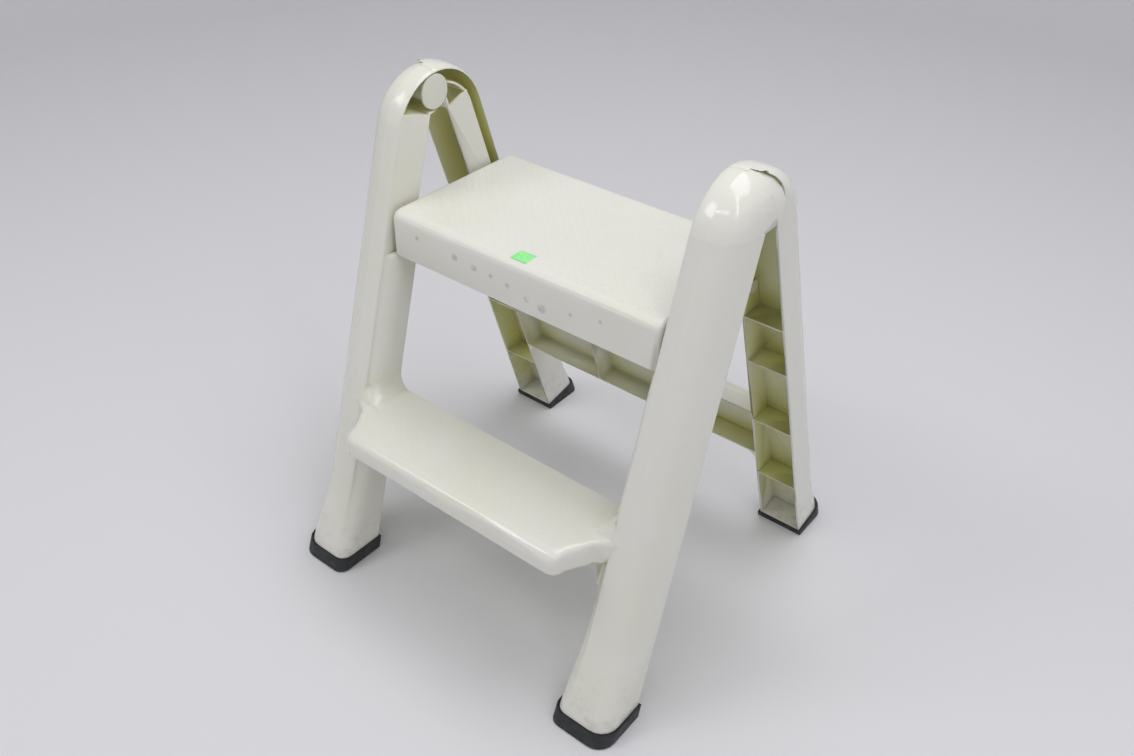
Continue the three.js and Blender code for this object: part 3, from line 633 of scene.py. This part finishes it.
@dataclass(frozen=True)
class Studio:
    """Pale floor that sweeps up into a round backdrop, soft lamps and an even sky."""

    floor_radius: float = 2.6
    sweep_radius: float = 1.1
    sweep_steps: int = 14
    wall_height: float = 2.4
    sides: int = 72
    sky_colour: Colour = (255, 255, 255)
    sky_strength: float = 0.42
    lamps: tuple[SoftBox, ...] = (
        SoftBox("key_box", (-1.2, -1.5, 2.4), 1.1, 0.8, 12),
        SoftBox("fill_box", (2.1, -0.4, 1.7), 1.8, 1.8, 4),
        SoftBox("top_box", (0.3, 0.5, 2.8), 2.0, 1.2, 23),
        SoftBox("left_tube", (0.35, -1.35, 2.3), 1.3, 0.03, 3.4),
        SoftBox("right_tube", (1.25, -0.55, 2.3), 0.03, 1.3, 3.4),
    )

    def build(self, paper: bpy.types.Material) -> None:
        """Makes the backdrop, the lamps and the world.

        Args:
            paper: The material of the floor and the backdrop.
        """
        angles = (math.pi / 2 * i / self.sweep_steps for i in range(self.sweep_steps + 1))
        profile = [(self.floor_radius + self.sweep_radius * math.sin(a),
                    self.sweep_radius * (1 - math.cos(a))) for a in angles]
        profile.append((self.floor_radius + self.sweep_radius, self.wall_height))
        bm = bmesh.new()
        rings = [[bm.verts.new((x, y, z)) for x, y in circle(radius, self.sides)]
                 for radius, z in profile]
        for lower, upper in zip(rings, rings[1:]):
            join_rows(bm, upper, lower)
        close_row(bm, rings[0], bm.verts.new((0, 0, 0)))
        sweep = new_piece("paper_sweep", bm, paper)
        for lamp in self.lamps:
            lamp.build()
        world = bpy.data.worlds.new("even_sky")
        world.use_nodes = True
        background = world.node_tree.nodes["Background"].inputs
        background["Color"].default_value = linear(self.sky_colour)
        background["Strength"].default_value = self.sky_strength
        bpy.context.scene.world = world
        bpy.context.scene.view_settings.view_transform = "Standard"


def circle(radius: float, sides: int) -> list[PlanPoint]:
    """Returns the corners of a many-sided circle round the origin."""
    turns = (math.tau * k / sides for k in range(sides))
    return [(radius * math.cos(turn), radius * math.sin(turn)) for turn in turns]


def join_rows(bm: bmesh.types.BMesh, lower: Row, upper: Row, closed: bool = True) -> None:
    """Joins two rows of vertices by a band of four-sided faces.

    Args:
        bm: The mesh that is being made.
        lower: One row.
        upper: The other row, as long.
        closed: Whether the band runs on from the last vertex to the first.
    """
    for k in range(len(lower) if closed else len(lower) - 1):
        after = (k + 1) % len(lower)
        bm.faces.new((lower[k], lower[after], upper[after], upper[k]))


def close_row(bm: bmesh.types.BMesh, row: Row, middle: bmesh.types.BMVert) -> None:
    """Closes a ring of vertices by three-sided faces to its middle."""
    for k, corner in enumerate(row):
        bm.faces.new((corner, row[(k + 1) % len(row)], middle))


def new_piece(name: str, bm: bmesh.types.BMesh, material: bpy.types.Material) -> bpy.types.Object:
    """Turns a mesh that is being made into a smooth object of the scene.

    Args:
        name: The object's name.
        bm: The mesh, which is freed.
        material: What the object is made of.

    Returns:
        The object.
    """
    mesh = bpy.data.meshes.new(name)
    bm.to_mesh(mesh)
    bm.free()
    mesh.shade_smooth()
    mesh.materials.append(material)
    piece = bpy.data.objects.new(name, mesh)
    bpy.context.scene.collection.objects.link(piece)
    return piece


@dataclass(frozen=True)
class FineCopy:
    """A copy of a moulded solid whose curves are shaded as curves and whose corners are crisp."""

    node: str
    body: str
    slot: str
    merge: float = 0.002 * MM
    face_weight: int = 75

    def build(self, material: bpy.types.Material) -> bpy.types.Object:
        """Copies the solid and lets the copy stand for it.

        Args:
            material: The finish that it is dressed in.

        Returns:
            The fine piece.
        """
        bm = bmesh.new()
        bm.from_mesh(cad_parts[self.node].data)
        bmesh.ops.remove_doubles(bm, verts=bm.verts, dist=self.merge)
        bmesh.ops.recalc_face_normals(bm, faces=bm.faces)
        piece = new_piece(self.node + "_fine", bm, material)
        piece.data.set_sharp_from_angle(angle=CRISP_ANGLE)
        even = piece.modifiers.new("even", "WEIGHTED_NORMAL")
        even.keep_sharp = True
        even.mode = "FACE_AREA_WITH_ANGLE"
        even.weight = self.face_weight
        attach(piece, self.body)
        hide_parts(self.node)
        return piece


@dataclass(frozen=True)
class Tread:
    """Staggered rows of low round studs, moulded on a step so that a foot holds."""

    name: str
    node: str
    body: str
    slot: str
    low: PlanPoint
    high: PlanPoint
    level: float
    pitch: float
    radius: float
    rise: float
    border: float
    bare: tuple[PlanPoint, PlanPoint] | None = None
    sides: int = 10
    level_margin: float = 0.05 * MM
    profile: tuple[PlanPoint, ...] = ((1.0, -0.1), (0.86, 0.55), (0.5, 0.92))

    def kept_bare(self, x: float, y: float) -> bool:
        """Whether a place lies where no stud stands.

        Args:
            x: The place across the step.
            y: The place along the step.

        Returns:
            True inside the bare area.
        """
        if self.bare is None:
            return False
        (x0, y0), (x1, y1) = self.bare
        return x0 < x < x1 and y0 < y < y1

    def places(self) -> list[PlanPoint]:
        """Finds where the studs stand: on the flat of the step, with a border all round.

        Returns:
            The studs' middles.
        """
        bm = bmesh.new()
        bm.from_mesh(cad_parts[self.node].data)
        step = BVHTree.FromBMesh(bm)
        bm.free()

        def flat(x: float, y: float) -> bool:
            """Whether the step's flat top lies at a place."""
            hit = step.ray_cast(Vector((x, y, self.level + self.pitch)), Vector((0, 0, -1)))[0]
            return hit is not None and abs(hit.z - self.level) < self.level_margin

        found = []
        columns = round((self.high[0] - self.low[0]) / self.pitch)
        rows = round((self.high[1] - self.low[1]) / self.pitch * 2)
        for row in range(rows + 1):
            y = self.low[1] + row * self.pitch / 2
            for column in range(columns + 1):
                x = self.low[0] + (column + row % 2 / 2) * self.pitch
                around = [(x + dx * self.border, y + dy * self.border)
                          for dx, dy in ((0, 0), (1, 0), (-1, 0), (0, 1), (0, -1))]
                if all(flat(*place) for place in around) and not self.kept_bare(x, y):
                    found.append((x, y))
        return found

    def build(self, material: bpy.types.Material) -> bpy.types.Object:
        """Makes all studs as one piece on the step.

        Args:
            material: The step's own finish.

        Returns:
            The studs.
        """
        bm = bmesh.new()
        for x, y in self.places():
            rings = [[bm.verts.new((x + dx, y + dy, self.level + self.rise * share))
                      for dx, dy in circle(self.radius * reach, self.sides)]
                     for reach, share in self.profile]
            for lower, upper in zip(rings, rings[1:]):
                join_rows(bm, lower, upper)
            close_row(bm, rings[-1], bm.verts.new((x, y, self.level + self.rise)))
        studs = new_piece(self.name, bm, material)
        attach(studs, self.body)
        return studs


@dataclass(frozen=True)
class PriceSticker:
    """Plain green sticker on the seat, with one corner that has begun to lift."""

    corners: tuple[PlanPoint, ...] = ((-13 * MM, -84 * MM), (10 * MM, -84 * MM),
                                      (9 * MM, -63.6 * MM), (-12.5 * MM, -64 * MM))
    thickness: float = 0.12 * MM
    lift: float = 0.9 * MM
    lift_reach: float = 0.3
    steps: int = 12

    def height(self, across: float, along: float) -> float:
        """Height of the paper above the seat at a share of its width and length."""
        lifted = max(0.0, (across + along - 2) / self.lift_reach + 1)
        return self.lift * lifted * lifted

    def build(self, material: bpy.types.Material) -> bpy.types.Object:
        """Lays the sticker on the seat.

        Args:
            material: The sticker's paper.

        Returns:
            The sticker.
        """
        a, b, c, d = (Vector((x, y + HINGE_Y, SEAT_TOP_Z)) for x, y in self.corners)
        bm = bmesh.new()
        grid = []
        for j in range(self.steps + 1):
            along = j / self.steps
            row = []
            for i in range(self.steps + 1):
                across = i / self.steps
                place = a.lerp(b, across).lerp(d.lerp(c, across), along)
                place.z += self.thickness / 2 + self.height(across, along)
                row.append(bm.verts.new(place))
            grid.append(row)
        for lower, upper in zip(grid, grid[1:]):
            join_rows(bm, lower, upper, closed=False)
        sticker = new_piece("price_sticker", bm, material)
        body = sticker.modifiers.new("body", "SOLIDIFY")
        body.thickness = self.thickness
        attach(sticker, "seat")
        return sticker


@dataclass(frozen=True)
class HingePlug:
    """Round snap-in plug that closes the hinge on the inner side of an arch."""

    side: Side
    head_radius: float = 21.4 * MM
    head_depth: float = 3 * MM
    edge_radius: float = 1 * MM
    stem_radius: float = 5 * MM
    edge_steps: int = 4
    sides: int = 72

    def profile(self, stem_end: float) -> list[Span]:
        """Lays out the plug's outline, from its face to the stem's end.

        Args:
            stem_end: How deep the stem reaches behind the face.

        Returns:
            Pairs of a depth and a radius.
        """
        turns = (math.pi / 2 * k / self.edge_steps for k in range(self.edge_steps + 1))
        rim = [(self.edge_radius * (1 - math.cos(turn)),
                self.head_radius - self.edge_radius * (1 - math.sin(turn))) for turn in turns]
        return [*rim, (self.head_depth, self.head_radius), (self.head_depth, self.stem_radius),
                (stem_end, self.stem_radius)]

    def build(self, material: bpy.types.Material) -> bpy.types.Object:
        """Turns the plug where its solid lies.

        Args:
            material: The plug's finish.

        Returns:
            The plug.
        """
        name = self.side.named("hinge_plug")
        low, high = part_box(name)
        face_x = min(abs(low[0]), abs(high[0]))
        stem_end = max(abs(low[0]), abs(high[0])) - face_x
        bm = bmesh.new()
        rings = [[bm.verts.new((self.side.value * (face_x + depth), HINGE_Y + y, HINGE_Z + z))
                  for y, z in circle(radius, self.sides)]
                 for depth, radius in self.profile(stem_end)]
        for lower, upper in zip(rings, rings[1:]):
            join_rows(bm, lower, upper)
        bm.faces.new(rings[0][::-1])
        bm.faces.new(rings[-1])
        bmesh.ops.recalc_face_normals(bm, faces=bm.faces)
        plug = new_piece(name + "_fine", bm, material)
        plug.data.set_sharp_from_angle(angle=CRISP_ANGLE)
        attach(plug, "front")
        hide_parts(name)
        return plug


@dataclass(frozen=True)
class RearLegEnd:
    """Outline of a rear leg's lower end at any height, seen from above."""

    side: Side
    inner_x: float = 202 * MM
    foot_outer_x: float = 266 * MM
    outer_lean: float = 10 / 545
    arch_y: float = 8 * MM
    arch_radius: float = 76 * MM
    arch_axis_z: float = 566 * MM
    front_edge_y: float = 11.7 * MM
    tilt: float = math.radians(19)
    flare_reach: float = 10 * MM
    flare_height: float = 90 * MM
    crown: PlanPoint = (20 * MM, 5 * MM)
    foot_corner: float = 15 * MM
    outer_corner: float = 24 * MM
    arc_steps: int = 5

    def flare(self, level: float) -> float:
        """Returns how far the foot's flare has come, from 0 above it to 1 at the floor."""
        start = 1 - level / self.flare_height
        return start * start * (3 - 2 * start)

    def front(self, level: float) -> float:
        """Returns where the leg's straight front lies."""
        return self.front_edge_y + (HINGE_Z - level) * math.tan(self.tilt) + HINGE_Y

    def back(self, level: float) -> float:
        """Finds where the leg's back lies.

        Args:
            level: The height above the floor.

        Returns:
            The back's place along Y.
        """
        reach = self.arch_radius + (self.arch_axis_z - level) * math.sin(self.tilt)
        return (self.arch_y + reach / math.cos(self.tilt)
                + self.flare_reach * self.flare(level) + HINGE_Y)

    def arc(self, centre: PlanPoint, reach: PlanPoint, start: int) -> list[PlanPoint]:
        """Rounds a corner by a quarter of an ellipse.

        Args:
            centre: The ellipse's centre.
            reach: Its two half axes.
            start: How many quarter turns the arc starts at.

        Returns:
            The arc's points.
        """
        turns = (math.pi / 2 * (start + k / self.arc_steps) for k in range(self.arc_steps + 1))
        return [(centre[0] + reach[0] * math.cos(turn), centre[1] + reach[1] * math.sin(turn))
                for turn in turns]

    def inner_corner(self, level: float, inset: float) -> list[PlanPoint]:
        """Rounds the inner back corner, from the back to the inner side.

        Args:
            level: The height above the floor.
            inset: How far the outline lies under the leg's surface.

        Returns:
            The corner's points.
        """
        share = self.flare(level)
        width = self.crown[0] + (self.foot_corner - self.crown[0]) * share
        upper_depth = self.crown[1] / math.cos(self.tilt)
        depth = upper_depth + (self.foot_corner - upper_depth) * share
        return self.arc((self.inner_x + width, self.back(level) - depth),
                        (width - inset, depth - inset), 1)

    def outline(self, level: float, inset: float) -> list[PlanPoint]:
        """Lays out the leg's whole section, from its straight front round to its back.

        Args:
            level: The height above the floor.
            inset: How far the outline lies under the leg's surface.

        Returns:
            The section's points, the two of the front first.
        """
        outer = self.foot_outer_x - self.outer_lean * level
        front = self.front(level) + inset
        corner = self.arc((outer - self.outer_corner, self.back(level) - self.outer_corner),
                          (self.outer_corner - inset, self.outer_corner - inset), 0)
        return [(self.inner_x + inset, front), (outer - inset, front), *corner,
                *self.inner_corner(level, inset)]

    def row(self, bm: bmesh.types.BMesh, level: float, points: list[PlanPoint]) -> Row:
        """Returns new vertices for some points of this side's leg at a height."""
        return [bm.verts.new((self.side.value * x, y, level)) for x, y in points]

    def placed(self, name: str, bm: bmesh.types.BMesh,
               material: bpy.types.Material) -> bpy.types.Object:
        """Makes a piece of the rear frame from a mesh.

        Args:
            name: The piece's name without its side.
            bm: The mesh.
            material: The frame's finish.

        Returns:
            The piece.
        """
        bmesh.ops.recalc_face_normals(bm, faces=bm.faces)
        piece = new_piece(self.side.named(name), bm, material)
        piece.data.set_sharp_from_angle(angle=CRISP_ANGLE)
        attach(piece, "rear")
        return piece


@dataclass(frozen=True)
class FootCorner:
    """Skin of a rear leg's inner back corner, where the leg flares out to its foot."""

    leg: RearLegEnd
    level_shares: tuple[float, ...] = (0.07, 0.11, 0.22, 0.44, 0.7, 1)
    sunk: float = 0.12 * MM
    skin: float = 1.6 * MM

    def build(self, material: bpy.types.Material) -> bpy.types.Object:
        """Makes the skin just under the leg's own surface.

        Args:
            material: The frame's finish.

        Returns:
            The skin.
        """
        bm = bmesh.new()
        levels = [share * self.leg.flare_height for share in self.level_shares]
        outside, inside = ([self.leg.row(bm, z, self.leg.inner_corner(z, inset)) for z in levels]
                           for inset in (self.sunk, self.sunk + self.skin))
        for rows in (outside, inside):
            for lower, upper in zip(rows, rows[1:]):
                join_rows(bm, lower, upper, closed=False)
        for end in (0, -1):
            join_rows(bm, outside[end], inside[end], closed=False)
            join_rows(bm, [row[end] for row in outside], [row[end] for row in inside],
                      closed=False)
        return self.leg.placed("foot_corner", bm, material)


@dataclass(frozen=True)
class FootFloor:
    """Floor that closes a rear leg's hollow just above its rubber sole."""

    leg: RearLegEnd
    front_height: float = 7 * MM
    rear_height: float = 21 * MM
    lift: float = 0.5 * MM
    thickness: float = 2.6 * MM
    inset: float = 0.25 * MM

    def height(self, y: float) -> float:
        """Finds how high the sole's slanted top lies under the floor.

        Args:
            y: The place along the leg's depth.

        Returns:
            The height above the ground.
        """
        front, back = self.leg.front(0), self.leg.back(0)
        share = (y - front) / (back - front)
        return self.front_height + (self.rear_height - self.front_height) * share

    def build(self, material: bpy.types.Material) -> bpy.types.Object:
        """Makes the floor plate.

        Args:
            material: The frame's finish.

        Returns:
            The plate.
        """
        bm = bmesh.new()
        top = self.lift + self.thickness
        outline = (self.leg.outline(self.front_height + top, self.inset)[:2]
                   + self.leg.outline(self.rear_height + top, self.inset)[2:])
        lower = self.leg.row(bm, self.lift, outline)
        upper = self.leg.row(bm, top, outline)
        for vertex in lower + upper:
            vertex.co.z += self.height(vertex.co.y)
        join_rows(bm, lower, upper)
        bm.faces.new(lower)
        bm.faces.new(upper)
        return self.leg.placed("foot_floor", bm, material)


@dataclass
class FrontFrame:
    """Front legs with the lower step, its tread and the plugs in the arches."""

    tread_low: PlanPoint = (-190 * MM, -232 * MM + HINGE_Y)
    tread_high: PlanPoint = (190 * MM, -95 * MM + HINGE_Y)
    tread_pitch: float = 9 * MM
    stud_radius: float = 1.0 * MM
    stud_rise: float = 0.22 * MM
    border: float = 7 * MM
    sink_heights: tuple[float, ...] = (81 * MM, 156 * MM, 202 * MM, 370 * MM, 435 * MM)
    pieces: list[bpy.types.Object] = field(default_factory=list)

    def build(self, plastic: bpy.types.Material, plug: bpy.types.Material,
              rubber: bpy.types.Material) -> None:
        """Makes the frame's fine pieces.

        Args:
            plastic: Finish of the frame.
            plug: Finish of the hinge plugs.
            rubber: Finish of the foot cups.
        """
        self.pieces.append(FineCopy("front_frame", "front", "frame_plastic").build(plastic))
        for side in Side:
            cup = FineCopy(side.named("front_pad"), "front", "foot_rubber")
            self.pieces.append(cup.build(rubber))
        for side in Side:
            self.pieces.append(HingePlug(side).build(plug))
        tread = Tread("step_tread", "front_frame", "front", "frame_plastic", self.tread_low,
                      self.tread_high, STEP_TOP_Z, self.tread_pitch, self.stud_radius,
                      self.stud_rise, self.border)
        self.pieces.append(tread.build(plastic))


@dataclass
class RearFrame:
    """Rear legs with the crossbar, the seat's pins and the soles."""

    pieces: list[bpy.types.Object] = field(default_factory=list)

    def build(self, plastic: bpy.types.Material, pin: bpy.types.Material,
              rubber: bpy.types.Material) -> None:
        """Makes the frame's fine pieces.

        Args:
            plastic: Finish of the frame.
            pin: Finish of the seat's pins.
            rubber: Finish of the soles.
        """
        self.pieces.append(FineCopy("rear_frame", "rear", "frame_plastic").build(plastic))
        for side in Side:
            seat_pin = FineCopy(side.named("seat_pin"), "rear", "plug_plastic")
            self.pieces.append(seat_pin.build(pin))
            sole = FineCopy(side.named("rear_pad"), "rear", "foot_rubber")
            self.pieces.append(sole.build(rubber))
        for leg in map(RearLegEnd, Side):
            self.pieces.append(FootCorner(leg).build(plastic))
            self.pieces.append(FootFloor(leg).build(plastic))


@dataclass
class Seat:
    """The seat with its tread and the price sticker."""

    tread_low: PlanPoint = (-192 * MM, -84 * MM + HINGE_Y)
    tread_high: PlanPoint = (192 * MM, 123 * MM + HINGE_Y)
    tread_pitch: float = 12 * MM
    stud_radius: float = 1.9 * MM
    stud_rise: float = 0.32 * MM
    border: float = 2.5 * MM
    bare: tuple[PlanPoint, PlanPoint] = ((-14.5 * MM, -85.5 * MM + HINGE_Y),
                                         (11.5 * MM, -62 * MM + HINGE_Y))
    pieces: list[bpy.types.Object] = field(default_factory=list)

    def build(self, plastic: bpy.types.Material, paper: bpy.types.Material) -> None:
        """Makes the seat's fine pieces.

        Args:
            plastic: Finish of the seat.
            paper: The sticker's paper.
        """
        self.pieces.append(FineCopy("seat_panel", "seat", "seat_plastic").build(plastic))
        tread = Tread("seat_tread", "seat_panel", "seat", "seat_plastic", self.tread_low,
                      self.tread_high, SEAT_TOP_Z, self.tread_pitch, self.stud_radius,
                      self.stud_rise, self.border, self.bare)
        self.pieces.append(tread.build(plastic))
        self.pieces.append(PriceSticker().build(paper))


SEAT_FRONT_Y = -92.9 * MM + HINGE_Y
SEAT_SMUDGES = tuple(
    ((x * MM, SEAT_FRONT_Y, z * MM), radius * MM)
    for x, z, radius in (
        (-153.6, 470.9, 4.0), (-92.5, 466.9, 6.5), (-61.5, 464.1, 6.0), (-35.5, 463.8, 4.0),
        (-10.2, 460.8, 4.5), (17.4, 453.5, 5.0), (40.3, 450.2, 8.0), (81.3, 459.1, 3.5),
        (121.9, 466.9, 3.5)))


def main() -> None:
    """Builds the studio and dresses every piece of the stool."""
    logging.basicConfig(level=logging.INFO)
    PhotoCamera().build()
    Studio().build(StudioPaper("studio_paper").material())
    front = FrontFrame()
    rear = RearFrame()
    seat = Seat()
    front_plastic = MouldedPlastic("front_plastic", sink_heights=front.sink_heights).material()
    rear_plastic = MouldedPlastic("rear_plastic").material()
    seat_plastic = MouldedPlastic("seat_plastic", roughness=0.36, grain=2.6 * MM,
                                  grain_depth=0.05 * MM, smudges=SEAT_SMUDGES).material()
    plug_plastic = MouldedPlastic("plug_plastic", colour=(222, 221, 210), roughness=0.5,
                                  edge=0.8 * MM).material()
    rubber = FootRubber("foot_rubber").material()
    front.build(front_plastic, plug_plastic, rubber)
    rear.build(rear_plastic, plug_plastic, rubber)
    seat.build(seat_plastic, StickerPaper("sticker_paper").material())
    for part in (front, rear, seat):
        for piece in part.pieces:
            LOG.info("%s: %d faces", piece.name, len(piece.data.polygons))


if __name__ == "__main__":
    main()
